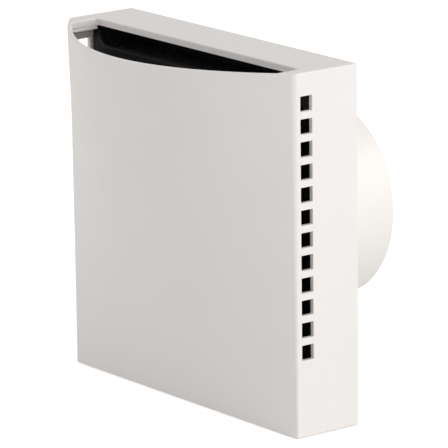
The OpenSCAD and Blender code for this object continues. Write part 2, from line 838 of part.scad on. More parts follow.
// Straight leg of the torsion spring, resting on a flap
module spring_leg(side, z) {
    swept([[side * 0.4, pin_y + 1.75, z], [side * 2.6, pin_y + 1.2, z], [side * 4.4, flap_y[1] + wire_r + 0.02, z],
        [side * 14, flap_y[1] + wire_r + 0.02, z]], wire_r, wire_sides);
}

module left_spring_leg() {
    color("silver") spring_leg(-1, leg_z[0]);
}

module right_spring_leg() {
    color("silver") spring_leg(1, leg_z[1]);
}

front_cover();
filter_frame();
filter_media();
wall_plate();
duct_spigot();
motor_holder();
inner_chassis();
acoustic_foam();
inlet_grille();
wall_seal();
chassis_screws();
impeller();
impeller_nut();
motor_shaft();
rotor_core();
rotor_end_rings();
thrust_washers();
stator_core();
coil_bobbins();
stator_windings();
front_bearing();
rear_bearing();
front_bracket();
rear_bracket();
motor_bolts();
motor_nuts();
isolation_mounts();
motor_lead();
terminal_block();
terminal_clamps();
terminal_screws();
terminal_cover();
terminal_cover_screw();
cable_grommet();
cable_clamp();
clamp_screws();
timer_board();
board_screws();
relay();
film_capacitor();
smoothing_capacitor();
trimmer_bodies();
timer_trimmer();
humidity_trimmer();
humidity_sensor();
shutter_pin();
left_flap();
right_flap();
shutter_spring();
left_spring_leg();
right_spring_leg();
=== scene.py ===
"""Looks for a bathroom extractor fan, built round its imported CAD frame. Row frame: X right, Y into the wall, Z up."""
import json
import math

import bmesh
import bpy
import numpy as np
from mathutils import Matrix, Vector


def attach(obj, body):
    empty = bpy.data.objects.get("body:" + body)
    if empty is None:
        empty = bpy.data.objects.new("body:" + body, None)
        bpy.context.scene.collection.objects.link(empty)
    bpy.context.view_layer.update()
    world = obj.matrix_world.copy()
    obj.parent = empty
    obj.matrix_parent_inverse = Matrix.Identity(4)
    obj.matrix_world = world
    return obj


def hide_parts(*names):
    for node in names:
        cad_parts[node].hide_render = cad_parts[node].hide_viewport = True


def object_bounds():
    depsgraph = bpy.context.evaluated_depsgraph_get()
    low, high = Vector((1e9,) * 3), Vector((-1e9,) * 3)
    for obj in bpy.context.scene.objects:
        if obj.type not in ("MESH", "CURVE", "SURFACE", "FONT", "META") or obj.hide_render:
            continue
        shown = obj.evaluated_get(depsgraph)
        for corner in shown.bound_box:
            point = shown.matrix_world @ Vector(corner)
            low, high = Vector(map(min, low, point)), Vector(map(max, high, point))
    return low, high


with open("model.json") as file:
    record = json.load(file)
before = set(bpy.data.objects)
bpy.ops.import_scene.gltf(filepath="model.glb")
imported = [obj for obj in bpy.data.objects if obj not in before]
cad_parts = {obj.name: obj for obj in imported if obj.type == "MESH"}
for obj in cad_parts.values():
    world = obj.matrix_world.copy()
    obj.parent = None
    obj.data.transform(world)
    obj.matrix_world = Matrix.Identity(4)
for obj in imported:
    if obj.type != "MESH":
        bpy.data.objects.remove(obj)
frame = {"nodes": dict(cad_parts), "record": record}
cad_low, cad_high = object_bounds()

MM = 0.001
SCENE = bpy.context.scene

# ---- Sizes in millimetres, as in the CAD source ----

HALF = 89.0  # half the cover's width and height
SIDE_DEPTH = 38.0
BOW = 39.2
BOW_POWER = 1.4
BOW_SHAPE = 0.85  # 0 is an arc of a circle and 1 is a parabola
WALL = 2.4
TOP_WALL = 3.5
SKIN = 2.2
SLOT_BACK = 28.6
SLOT_ENDS = {-1: -78.4, 1: 81.0}
SLOT_CORNER = 1.5
SLOT_STEP = 0.04  # keeps the slot's cut off the cavity's, so that they leave one clean step
RIM_START = -35.0
RIM_SLOPE = 0.9 / (BOW + 3)  # the panel's rim drops towards its middle
LIP_HEIGHT = 5.5
RIB = 2.0
VENTS = 12
VENT_TOP = HALF - 15
VENT_PITCH = 11.0
VENT_HEIGHT = 7.4
VENT_DEPTH = (-34.5, -27.5)
LOWER_PEGS = ((-55, -80.5, 2.6), (55, -80.5, 2.6))
UPPER_PEGS = ((-82, 66.2, 1.6), (82, 66.2, 1.6))
PEG_TIP = -20.0
GUIDE_HEIGHTS = (44.5, 0.5, -54.5)
GUIDE_X = (75.5, 80.5)
SHELVES = (-42, 38)  # left edges of the filter's two rests
SHELF_WIDTH = 4
FILTER_HALF = 78.0
FILTER_LOW, FILTER_TOP = -76.0, 66.0
FILTER_DEPTH = (-34.4, -29.6)
FILTER_BORDER = 6.0
FILTER_BAR = 1.2
FLARE_X, FLARE_Z = 73.4, 83.8
FLARE_LIP, FLARE_FOAM, FLARE_WALL = 8.4, 8.7, 10.9
FLARE_SWEEP = 80.0
CHASSIS_DEPTH = (-26.1, -23.6)
FOAM_DEPTH = (-23.4, -3.4)
FOAM_BACK = (-6.0, -3.4)  # where the strip turns up against the wall plate
FOAM_TOP = 84.7
FOAM_PAD_X = (81.0, 86.1)
FOAM_PAD_FOOT = 77.8
FOAM_PIT = 0.55
SEAL_RING = (52.0, 58.0)
SEAL_DEPTH = (-1.2, 0.0)
BLADES = 7
BLADE_RADII = (27.2, 45.3)
BLADE_DEPTH = (-19.5, -6.5)
SHAFT_RADIUS = 2.0
STACK_MIDDLE = 18.0
COIL_RADII = (14.2, 17.2)
COIL_OUTER = (7.0, 11.7)  # half sizes across the pole and along the shaft
PIN_Y = 49.6
SPRING_RADIUS, SPRING_WIRE, SPRING_TURNS, SPRING_PITCH = 1.75, 0.25, 5, 0.9
FLAP_BACK = 49.3
LEG_Z = 2.9

COVER_ROUND = 2.5  # largest edge radius on the cover
SMALL_EDGE = 0.12
PIERCED = {"inlet_grille"}  # its front keeps its triangles, because merged into one face it would fill its openings
EDGE_WIDTH = {
    "wall_plate": 0.35, "duct_spigot": 0.3, "motor_holder": 0.3, "inner_chassis": 0.3, "inlet_grille": 0.3,
    "filter_frame": 0.25, "terminal_cover": 0.35, "terminal_block": 0.3, "left_flap": 0.2, "right_flap": 0.2,
}
SMALL_FACE = 0.2 * MM * MM  # square metres; the edges of a face below it, such as a cut's step, stay sharp

# ---- Light and camera, in metres and degrees ----

WORLD_LIGHT = 0.546
BOUNCE_GLOW = 0.10
FLOOR_GLOW = 0.55
CAMERA_ANGLES = (52.17, 14.06, -0.68)  # azimuth, elevation and roll
CAMERA_PLACE = (1.6831, -1.3185, 0.5294)
SOFTBOXES = {  # azimuth, elevation, distance, size, power
    "key_right": (100, 22, 1.8, (1.6, 1.4), 10.2),
    "fill_left": (-55, 25, 1.9, (1.2, 1.2), 7.0),
    "right_high": (80, 55, 1.8, (1.0, 1.0), 1.7),
    "back_right": (150, 25, 1.8, (1.2, 1.2), 10.4),
}


# ---- Materials ----

class Surface:
    """A Principled material with procedural colour, roughness and bump, in the piece's own coordinates."""

    def __init__(self, name, roughness, metallic=0.0, **fixed):
        self.material = bpy.data.materials.new(name)
        self.material.use_nodes = True
        tree = self.material.node_tree
        self.nodes, self.links = tree.nodes, tree.links
        self.shader = self.nodes["Principled BSDF"]
        self.shader.inputs["Roughness"].default_value = roughness
        self.shader.inputs["Metallic"].default_value = metallic
        for key, value in fixed.items():
            self.shader.inputs[key.replace("_", " ")].default_value = value
        self.place = self.nodes.new("ShaderNodeTexCoord").outputs["Object"]
        self.roughness = roughness
        self.normal = None

    def stretched(self, stretch):
        mapping = self.nodes.new("ShaderNodeMapping")
        mapping.inputs["Scale"].default_value = stretch
        self.links.new(self.place, mapping.inputs["Vector"])
        return mapping.outputs["Vector"]

    def noise(self, size, detail=2.0, stretch=(1, 1, 1), distortion=0.0):
        """Noise whose features are about size millimetres across."""
        node = self.nodes.new("ShaderNodeTexNoise")
        node.inputs["Scale"].default_value = 1 / (size * MM)
        node.inputs["Detail"].default_value = detail
        node.inputs["Distortion"].default_value = distortion
        self.links.new(self.stretched(stretch), node.inputs["Vector"])
        return node.outputs["Fac"]

    def cells(self, size, feature="F1", stretch=(1, 1, 1)):
        node = self.nodes.new("ShaderNodeTexVoronoi")
        node.feature = feature
        node.inputs["Scale"].default_value = 1 / (size * MM)
        self.links.new(self.stretched(stretch), node.inputs["Vector"])
        return node.outputs["Distance"]

    def bands(self, pitch, axis):
        """Parallel ridges every pitch millimetres along an axis."""
        node = self.nodes.new("ShaderNodeTexWave")
        node.bands_direction = axis
        node.wave_profile = "SIN"
        node.inputs["Scale"].default_value = 2 * math.pi / (pitch * MM) / 20
        self.links.new(self.place, node.inputs["Vector"])
        return node.outputs["Fac"]

    def remap(self, value, low, high, source=(0.3, 0.7)):
        node = self.nodes.new("ShaderNodeMapRange")
        node.inputs["From Min"].default_value = source[0]
        node.inputs["From Max"].default_value = source[1]
        node.inputs["To Min"].default_value = low
        node.inputs["To Max"].default_value = high
        self.links.new(value, node.inputs["Value"])
        return node.outputs["Result"]

    def mix(self, factor, a, b):
        node = self.nodes.new("ShaderNodeMix")
        node.data_type = "RGBA"
        sockets = {s.identifier: s for s in node.inputs}
        self.links.new(factor, sockets["Factor_Float"])
        for identifier, value in (("A_Color", a), ("B_Color", b)):
            if isinstance(value, tuple):
                sockets[identifier].default_value = (*value, 1)
            else:
                self.links.new(value, sockets[identifier])
        return next(s for s in node.outputs if s.identifier == "Result_Color")

    def colour(self, value):
        if isinstance(value, tuple):
            self.shader.inputs["Base Color"].default_value = (*value, 1)
        else:
            self.links.new(value, self.shader.inputs["Base Color"])
        return self

    def rough(self, value):
        self.links.new(value, self.shader.inputs["Roughness"])
        return self

    def bump(self, height, depth):
        """Adds relief; depth is in millimetres."""
        node = self.nodes.new("ShaderNodeBump")
        node.inputs["Strength"].default_value = 1.0
        node.inputs["Distance"].default_value = depth * MM
        self.links.new(height, node.inputs["Height"])
        if self.normal:
            self.links.new(self.normal, node.inputs["Normal"])
        self.normal = node.outputs["Normal"]
        self.links.new(self.normal, self.shader.inputs["Normal"])
        return self


def tint(colour, share):
    return tuple(min(1.0, c * share) for c in colour)


def moulded(name, colour, roughness, grain=0.35, relief=0.01, mottle=0.02, spread=0.04, **fixed):
    """Injection-moulded plastic: fine spark texture, faint tone drift and uneven sheen."""
    s = Surface(name, roughness, **fixed)
    drift = s.remap(s.noise(38, 3), 0, 1)
    s.colour(s.mix(drift, tint(colour, 1 - mottle), tint(colour, 1 + mottle)))
    s.rough(s.remap(s.noise(9, 4, distortion=0.6), roughness - spread, roughness + spread))
    s.bump(s.noise(grain, 3), relief)
    return s.bump(s.noise(24, 1), relief * 2)


def plated(name, colour, roughness, streak=(1, 12, 1), **fixed):
    """Metal with drawn or ground streaks and a little tarnish."""
    s = Surface(name, roughness, metallic=1.0, **fixed)
    tarnish = s.remap(s.noise(3.5, 5, distortion=1.2), 0, 1, (0.35, 0.75))
    s.colour(s.mix(tarnish, colour, tint(colour, 0.78)))
    s.rough(s.remap(s.noise(0.5, 4, streak), roughness * 0.75, roughness * 1.3))
    return s.bump(s.noise(0.4, 3, streak), 0.012)


def foam(name, colour, pore, relief):
    """Open-cell foam: painted shade darkens the middle of each pore between lighter struts, with lighter specks."""
    s = Surface(name, 0.95, Specular_IOR_Level=0.2)
    # painted shade: each cell's middle, the pore, goes down to 0.35 of the foam's colour, against struts at 1.6
    painted_pore_shade = s.remap(s.cells(pore, "DISTANCE_TO_EDGE"), 0, 1, (0.02, 0.3))
    speck = s.remap(s.noise(pore * 0.8, 4), 0, 1, (0.55, 0.75))
    s.colour(s.mix(speck, s.mix(painted_pore_shade, tint(colour, 1.6), tint(colour, 0.35)), tint(colour, 3.2)))
    s.bump(s.noise(pore * 0.7, 4), relief)
    return s.bump(s.remap(s.cells(pore * 2.2), 1, 0, (0, 1)), relief * 1.5)


WHITE = (0.815, 0.782, 0.758)
BLACK = (0.006, 0.006, 0.0065)


def make_surfaces():
    made = {
        "cover_plastic": moulded("cover_plastic", WHITE, 0.42, 0.3, 0.006, 0.008, 0.03),
        "housing_plastic": moulded("housing_plastic", (0.83, 0.80, 0.765), 0.40, 0.4, 0.008, 0.012),
        "impeller_plastic": moulded("impeller_plastic", (0.74, 0.74, 0.72), 0.34, 0.5, 0.008, 0.02),
        "flap_plastic": moulded("flap_plastic", (0.72, 0.72, 0.69), 0.44, 0.5, 0.01, 0.02),
        "black_plastic": moulded("black_plastic", BLACK, 0.5, 0.4, 0.014, 0.2, 0.07, Specular_IOR_Level=0.2),
        "black_bead": moulded("black_bead", BLACK, 0.34, 0.4, 0.006, 0.2, 0.05, Specular_IOR_Level=0.6),
        "trimmer_white": moulded("trimmer_white", (0.80, 0.80, 0.78), 0.38, 0.4, 0.008),
        "blue_plastic": moulded("blue_plastic", (0.02, 0.07, 0.32), 0.22, 0.6, 0.006, 0.06),
        "yellow_plastic": moulded("yellow_plastic", (0.62, 0.40, 0.03), 0.26, 0.5, 0.01, 0.06),
        "bobbin_nylon": moulded("bobbin_nylon", (0.60, 0.54, 0.40), 0.45, 0.5, 0.01, 0.05, Subsurface_Weight=0.1,
                                Subsurface_Scale=0.001),
        "acoustic_foam": foam("acoustic_foam", (0.010, 0.010, 0.011), 1.3, 0.5),
        "filter_foam": foam("filter_foam", (0.022, 0.022, 0.025), 1.6, 0.6),
        "seal_foam": foam("seal_foam", (0.030, 0.030, 0.031), 0.5, 0.08),
        "zinc_steel": plated("zinc_steel", (0.60, 0.62, 0.65), 0.30),
        "bright_steel": plated("bright_steel", (0.66, 0.66, 0.67), 0.18, (1, 1, 14)),
        "pressed_steel": plated("pressed_steel", (0.50, 0.52, 0.55), 0.33, (8, 1, 1)),
        "spring_steel": plated("spring_steel", (0.50, 0.50, 0.52), 0.25, (1, 1, 1)),
        "cast_aluminium": plated("cast_aluminium", (0.62, 0.62, 0.64), 0.45, (1, 1, 1)),
        "bearing_bronze": plated("bearing_bronze", (0.43, 0.25, 0.10), 0.40, (1, 1, 1)),
        "brass": plated("brass", (0.66, 0.46, 0.17), 0.24, (1, 9, 1)),
    }
    rubber = Surface("black_rubber", 0.62, Specular_IOR_Level=0.35)
    bloom = rubber.remap(rubber.noise(5, 5), 0, 1)
    rubber.colour(rubber.mix(bloom, (0.010, 0.010, 0.010), (0.022, 0.021, 0.020)))
    rubber.rough(rubber.remap(rubber.noise(3, 4), 0.52, 0.74))
    made["black_rubber"] = rubber.bump(rubber.noise(0.5, 3), 0.015)

    laminated = Surface("lamination_steel", 0.42, metallic=0.9)
    sheets = laminated.bands(1.0, "Y")
    stain = laminated.remap(laminated.noise(4, 5), 0, 1)
    laminated.colour(laminated.mix(stain, laminated.mix(sheets, (0.035, 0.037, 0.045), (0.20, 0.21, 0.23)),
                                   (0.09, 0.075, 0.06)))
    laminated.rough(laminated.remap(laminated.noise(2, 3), 0.3, 0.55))
    made["lamination_steel"] = laminated.bump(sheets, 0.06)

    wire = Surface("copper_wire", 0.25, metallic=0.85, Coat_Weight=0.6, Coat_Roughness=0.15)
    shade = wire.remap(wire.noise(1.2, 4), 0, 1)
    wire.colour(wire.mix(shade, (0.42, 0.13, 0.035), (0.60, 0.23, 0.07)))
    made["copper_wire"] = wire.bump(wire.noise(0.3, 2), 0.01)

    board = Surface("circuit_board", 0.3, Coat_Weight=0.4, Coat_Roughness=0.2)
    traces = board.remap(board.cells(2.4, "F1", (1, 1, 1.8)), 0, 1, (0.30, 0.34))
    weave = board.bands(0.8, "X")
    board.colour(board.mix(traces, board.mix(weave, (0.006, 0.075, 0.03), (0.008, 0.095, 0.038)),
                           (0.018, 0.17, 0.07)))
    made["circuit_board"] = board.bump(traces, 0.05)

    sleeve = Surface("capacitor_sleeve", 0.22, Coat_Weight=0.5)
    stripe = sleeve.remap(sleeve.noise(7, 2, (3, 0.1, 3)), 0, 1, (0.56, 0.58))
    sleeve.colour(sleeve.mix(stripe, (0.008, 0.010, 0.045), (0.20, 0.22, 0.30)))
    made["capacitor_sleeve"] = sleeve.bump(sleeve.noise(1.5, 3), 0.02)
    return made


SURFACES = make_surfaces()
SLOT_OF = {row["node"]: row["material_slot"] for row in frame["record"]["subparts"]}


# ---- Mesh helpers; all take millimetres ----

def build(name, points, faces):
    """A mesh object from points in millimetres, with its faces turned outwards."""
    mesh = bpy.data.meshes.new(name)
    mesh.from_pydata([Vector(p) * MM for p in points], [], faces)
    bm = bmesh.new()
    bm.from_mesh(mesh)
    bmesh.ops.remove_doubles(bm, verts=bm.verts, dist=1e-7)
    bmesh.ops.recalc_face_normals(bm, faces=bm.faces)
    bm.to_mesh(mesh)
    bm.free()
    obj = bpy.data.objects.new(name, mesh)
    SCENE.collection.objects.link(obj)
    return obj


BOX_FACES = [(0, 1, 3, 2), (4, 6, 7, 5), (0, 4, 5, 1), (2, 3, 7, 6), (0, 2, 6, 4), (1, 5, 7, 3)]


def block(name, x, y, z):
    """A box between two corners, as a start for bevels and cuts."""
    return build(name, [(a, b, c) for a in x for b in y for c in z], BOX_FACES)


def revolved(name, profile, steps=128, centre=(0, 0)):
    """A solid of revolution about a line along Y; the closed profile's points are (radius, depth)."""
    points, faces, n = [], [], len(profile)
    for k in range(steps):
        a = 2 * math.pi * k / steps
        points += [(centre[0] + r * math.cos(a), y, centre[1] + r * math.sin(a)) for r, y in profile]
        for i in range(n):
            j, m = (i + 1) % n, (k + 1) % steps
            faces.append((k * n + i, k * n + j, m * n + j, m * n + i))
    return build(name, points, faces)


def swept(name, path, radius, sides=12, closed=False):
    """A round tube along a path, with flat ends or closed into a loop."""
    path = [Vector(p) for p in path]
    points, faces, last = [], [], len(path) - 1
    side = None
    for i, p in enumerate(path):
        if closed:
            before, after = path[i - 1], path[(i + 1) % len(path)]
        else:
            before, after = path[max(i - 1, 0)], path[min(i + 1, last)]
        along = (after - before).normalized()
        if side is None:
            side = along.cross(Vector((0.12, 0.2, 1))).normalized()
        side = (side - along * side.dot(along)).normalized()
        up = side.cross(along)
        for k in range(sides):
            a = 2 * math.pi * k / sides
            points.append(p + radius * (math.cos(a) * side + math.sin(a) * up))
    for i in range(last + closed):
        ring, following = i * sides, (i + 1) % len(path) * sides
        for k in range(sides):
            m = (k + 1) % sides
            faces.append((ring + k, ring + m, following + m, following + k))
    if not closed:
        faces += [tuple(range(sides)), tuple(last * sides + k for k in range(sides))]
    return build(name, points, faces)


def sheet_between(name, upper, lower, columns):
    """A closed solid between two grids of points, given row by row."""
    total, rows = len(upper), len(upper) // columns
    faces = []
    for j in range(rows - 1):
        for i in range(columns - 1):
            a = j * columns + i
            b, c, d = a + 1, a + columns + 1, a + columns
            faces += [(a, b, c, d), (total + a, total + d, total + c, total + b)]
    rim = list(range(columns)) + [j * columns + columns - 1 for j in range(1, rows)]
    rim += [(rows - 1) * columns + j for j in range(columns - 2, -1, -1)]
    rim += [j * columns for j in range(rows - 2, 0, -1)]
    faces += [(a, b, b + total, a + total) for a, b in zip(rim, rim[1:] + rim[:1])]
    return build(name, list(upper) + list(lower), faces)


def stacked(name, outlines):
    """A solid through closed outlines that all have the same number of points."""
    n, last = len(outlines[0]), len(outlines) - 1
    faces = [(j * n + i, j * n + (i + 1) % n, (j + 1) * n + (i + 1) % n, (j + 1) * n + i)
             for j in range(last) for i in range(n)]
    faces += [tuple(range(n)), tuple(last * n + i for i in range(n))]
    return build(name, [p for outline in outlines for p in outline], faces)


def baked(obj):
    """Applies the object's modifiers to its mesh."""
    graph = bpy.context.evaluated_depsgraph_get()
    mesh = bpy.data.meshes.new_from_object(obj.evaluated_get(graph))
    obj.modifiers.clear()
    obj.data = mesh
    return obj


def carved(obj, cutters):
    """Takes solids out of the object exactly, and removes them."""
    for cutter in cutters:
        change = obj.modifiers.new("carve", "BOOLEAN")
        change.object = cutter
        change.operation = "DIFFERENCE"
        change.solver = "EXACT"
    baked(obj)
    for cutter in cutters:
        bpy.data.objects.remove(cutter)
    return obj


def smooth(obj):
    obj.data.polygons.foreach_set("use_smooth", [True] * len(obj.data.polygons))
    return obj


def softened(obj, width, segments=3, angle=30.0, weights=None):
    """Rounds the sharp edges, in millimetres, and shades the result smooth. weights gives an edge's share of width."""
    smooth(obj)
    round_off = obj.modifiers.new("round", "BEVEL")
    round_off.width = width * MM
    round_off.segments = segments
    round_off.limit_method = "ANGLE"
    round_off.angle_limit = math.radians(angle)
    if weights:
        bm = bmesh.new()
        bm.from_mesh(obj.data)
        layers = bm.edges.layers.float
        layer = layers.get("bevel_weight_edge") or layers.new("bevel_weight_edge")
        for edge in bm.edges:
            if (len(edge.link_faces) == 2 and edge.calc_face_angle(0) > math.radians(angle)
                    and min(face.calc_area() for face in edge.link_faces) > SMALL_FACE):
                edge[layer] = weights(*[v.co / MM for v in edge.verts])
        bm.to_mesh(obj.data)
        bm.free()
        round_off.limit_method = "WEIGHT"
        round_off.use_clamp_overlap = False
        round_off.harden_normals = True
        return obj
    even = obj.modifiers.new("even", "WEIGHTED_NORMAL")
    even.weight = 60
    return obj


def dressed(obj, slot, body, *nodes):
    """Gives a finished piece its material and body, and hides the CAD nodes that it stands for."""
    obj.data.materials.clear()
    obj.data.materials.append(SURFACES[slot].material)
    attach(obj, body)
    if nodes:
        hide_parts(*nodes)
    return obj


def joined(name, pieces):
    """One object from several meshes, each kept as its own shell."""
    bm = bmesh.new()
    for obj in pieces:
        baked(obj)
        bm.from_mesh(obj.data)
    mesh = bpy.data.meshes.new(name)
    bm.to_mesh(mesh)
    bm.free()
    for obj in pieces:
        bpy.data.objects.remove(obj)
    obj = bpy.data.objects.new(name, mesh)
    SCENE.collection.objects.link(obj)
    return smooth(obj)


# ---- Front cover ----

def sagitta(z):
    t = (min(z, HALF) + HALF) / (2 * HALF)
    return max(0.02, BOW * (1 - (1 - t) ** BOW_POWER))


def panel_y(x, z, inset=0.0):
    """Depth of the bowed front panel; inset moves it inwards along its normal."""
    s = sagitta(z)
    r = (HALF * HALF + s * s) / (2 * s)
    run = math.sqrt(r * r - x * x)
    rise = (1 - BOW_SHAPE) * (run - (r - s)) + BOW_SHAPE * s * (1 - x * x / HALF ** 2)
    slope = (1 - BOW_SHAPE) * x / run + BOW_SHAPE * 2 * s * x / HALF ** 2
    return -SIDE_DEPTH - rise + inset * math.sqrt(1 + slope * slope)


def bowed(name, x_half, heights, back, inset, columns=72):
    points, faces, n = [], [], columns + 3
    for z in heights:
        points.append((-x_half, back, z))
        for i in range(columns + 1):
            x = x_half * (2 * i / columns - 1)
            points.append((x, panel_y(x, z, inset), z))
        points.append((x_half, back, z))
    for j in range(len(heights) - 1):
        for i in range(n):
            a, b = j * n + i, j * n + (i + 1) % n
            faces.append((a, b, b + n, a + n))
    top = (len(heights) - 1) * n
    faces += [tuple(range(n)), tuple(top + i for i in range(n))]
    return build(name, points, faces)


def top_of(y):
    """Height of the cover's top at a depth; the panel's rim slopes down towards the front."""
    return HALF - RIM_SLOPE * max(0.0, RIM_START - y)


def cover_edge_weight(a, b):
    """Share of COVER_ROUND that an edge of the cover gets."""
    middle = (a + b) / 2
    at_side = abs(abs(middle.x) - HALF) < 0.05
    on_panel = abs(middle.y - panel_y(middle.x, middle.z)) < 0.15
    on_top, on_bottom = abs(middle.z - top_of(middle.y)) < 0.08, abs(middle.z + HALF) < 0.05
    if at_side and (on_top or on_bottom):
        return 0.4
    if at_side and on_panel:
        return 0.36 + 0.44 * (middle.z + HALF) / (2 * HALF)
    if (on_top or on_bottom) and on_panel:
        return 0.3
    if on_top and middle.y < -1:
        return 0.24
    return 0.1


def slot_cutter(floor):
    """What the top slot takes out of the cover, from a height up; its back corners are rounded."""
    turn = [math.radians(a) for a in range(0, 91, 15)]
    back = []
    for side in (1, -1):
        arc = [(SLOT_ENDS[side] - side * SLOT_CORNER * (1 - math.cos(a)), -SLOT_BACK - SLOT_CORNER * (1 - math.sin(a)))
               for a in turn]
        back += arc if side > 0 else arc[::-1]
    xs = np.linspace(SLOT_ENDS[-1], SLOT_ENDS[1], 66)
    return stacked("slot", [[(x, panel_y(x, z, SKIN) + SLOT_STEP, z) for x in xs] + [(x, y, z) for x, y in back]
                            for z in (floor, HALF, HALF + 2)])


def make_cover():
    rows = [-84.5] + [VENT_TOP - VENT_PITCH / 2 * j for j in range(28, -2, -1)] + [84.25]  # clear of the vents' edges
    shell = bowed("front_cover_shell", HALF, [-HALF] + rows + [HALF], 0.0, 0.0)
    ceiling = HALF - TOP_WALL
    cavity = bowed("cavity", HALF - WALL, [WALL - HALF] + rows + [ceiling], 1.0, SKIN)
    carved(cavity, [block("rib", sorted((edge, edge + side * RIB)), (-60, -SLOT_BACK), (HALF - LIP_HEIGHT, HALF))
                    for side, edge in SLOT_ENDS.items()])
    vents = []
    for side in (-1, 1):
        ends = sorted((side * (HALF - WALL - 1), side * (HALF + 1)))
        for i in range(VENTS):
            z = VENT_TOP - i * VENT_PITCH
            vents.append(block("vent", ends, VENT_DEPTH, (z - VENT_HEIGHT / 2, z + VENT_HEIGHT / 2)))
    grid = joined("vents", vents)
    ends = (RIM_START + 20, RIM_START - 60)
    wedge = [(y, HALF - RIM_SLOPE * (RIM_START - y)) for y in ends] + [(y, HALF + 4) for y in reversed(ends)]
    rim = stacked("rim", [[(x, y, z) for y, z in wedge] for x in (-HALF - 3, HALF + 3)])
    for cutter in (rim, cavity, slot_cutter(ceiling - 0.02), grid):
        carved(shell, [cutter])
    softened(shell, COVER_ROUND, 4, 25, cover_edge_weight)
    dressed(shell, "cover_plastic", "cover", "front_cover")

    inside = []
    for x, z, r in LOWER_PEGS + UPPER_PEGS:
        root = panel_y(x, z, SKIN / 2)
        inside.append(revolved("peg", [(0.01, root), (r + 0.5, root), (r, root + 4), (r, PEG_TIP - 0.8),
                                       (r - 0.3, PEG_TIP - 0.25), (r - 0.8, PEG_TIP), (0.01, PEG_TIP)], 32, (x, z)))
    for side in (-1, 1):
        for z in GUIDE_HEIGHTS:
            ends = sorted(side * x for x in GUIDE_X)
            root = panel_y(GUIDE_X[1], z, SKIN / 2)
            lug = block("lug", ends, (root - 1, -27.4), (z - 1.5, z + 1.5))
            pocket = block("pocket", (-FILTER_HALF - 0.3, FILTER_HALF + 0.3), (-34.9, -28.9), (z - 2, z + 2))
            inside.append(softened(carved(lug, [pocket]), 0.3, 2))
    for x in SHELVES:
        root = panel_y(x + SHELF_WIDTH / 2, FILTER_LOW, SKIN / 2)
        shelf = block("shelf", (x, x + SHELF_WIDTH), (root, -28.2), (FILTER_LOW - 2.5, FILTER_LOW))
        inside.append(softened(shelf, 0.3, 2))
    dressed(joined("front_cover_fixings", inside), "cover_plastic", "cover")


# ---- Chassis bead and foam ----

def chassis_edge(level, sweep=FLARE_SWEEP, samples=18):
    """Upper edge of the chassis from left to right, as (x, z); it lifts in a curve at each side."""
    right = []
    for i in range(samples + 1):
        a = math.radians(sweep) * i / samples
        right.append((FLARE_X + level * math.sin(a), FLARE_Z - level * math.cos(a)))
    middle = [(x, FLARE_Z - level) for x in np.linspace(-FLARE_X, FLARE_X, 80)[1:-1]]
    return [(-x, z) for x, z in reversed(right)] + middle + right


def make_chassis_bead():
    radius = (CHASSIS_DEPTH[1] - CHASSIS_DEPTH[0]) / 2
    y = sum(CHASSIS_DEPTH) / 2
    line = chassis_edge(FLARE_LIP + radius * 0.8)
    bead = swept("chassis_bead", [(x, y, z) for x, z in line if abs(x) < 84], radius * 1.02, 20)
    dressed(smooth(bead), "black_plastic", "housing")
    bead.data.materials[0] = SURFACES["black_bead"].material


def pitted(points, depth, size, seed):
    """How far each point sinks into a foam surface, from a repeatable mixture of waves."""
    rng = np.random.default_rng(seed)
    waves = [(rng.normal(size=3) / (size * s), rng.uniform(0, 6.28), s) for s in (1.0, 0.6, 0.4) for _ in range(9)]
    out = []
    for p in points:
        total = sum(s * math.sin(float(np.dot(k, p)) * 6.28 + phase) for k, phase, s in waves)
        out.append(depth * min(1.0, max(0.0, 0.5 + total / 6)))
    return out


def make_acoustic_foam():
    """Foam on the chassis roof, thinner where it climbs the flares, at its ends and up the wall plate."""
    columns = 260

    def spaced(line):
        """The line's points, spread evenly over the grid's columns."""
        at = np.linspace(0, len(line) - 1, columns)
        return [tuple(np.interp(at, range(len(line)), axis)) for axis in zip(*line)]

    top, under = spaced(chassis_edge(FLARE_FOAM, 76)), spaced(chassis_edge(FLARE_WALL - 0.1, 54))
    rows = np.arange(FOAM_DEPTH[0] + 0.2, FOAM_BACK[0], 0.9)
    upper = [(x, y, z) for y in rows for x, z in zip(*top)]
    lower = [(x, y, z) for y in rows for x, z in zip(*under)]
    upper = [(x, y, z - pit) for (x, y, z), pit in zip(upper, pitted(upper, FOAM_PIT, 2.6, 4))]
    strip = smooth(sheet_between("acoustic_foam_strip", upper, lower, columns))
    dressed(strip, "acoustic_foam", "housing", "acoustic_foam")

    for side, name in ((-1, "left"), (1, "right")):
        pad = block(f"acoustic_foam_{name}", sorted(side * x for x in FOAM_PAD_X),
                    (FOAM_DEPTH[0] + 0.1, FOAM_BACK[0]), (FOAM_PAD_FOOT, FOAM_TOP - 0.1))
        dressed(softened(pad, 0.6, 3), "acoustic_foam", "housing")

    xs = np.linspace(-FOAM_PAD_X[1], FOAM_PAD_X[1], columns)
    feet = np.interp(xs, under[0], under[1])
    levels = np.linspace(0, 1, 14)
    front = [(x, FOAM_BACK[0], foot + (FOAM_TOP - foot) * t) for t in levels for x, foot in zip(xs, feet)]
    rear = [(x, FOAM_BACK[1], z) for x, _, z in front]
    front = [(x, y + pit, z) for (x, y, z), pit in zip(front, pitted(front, FOAM_PIT, 2.6, 5))]
    back = smooth(sheet_between("acoustic_foam_back", front, rear, columns))
    dressed(back, "acoustic_foam", "housing")


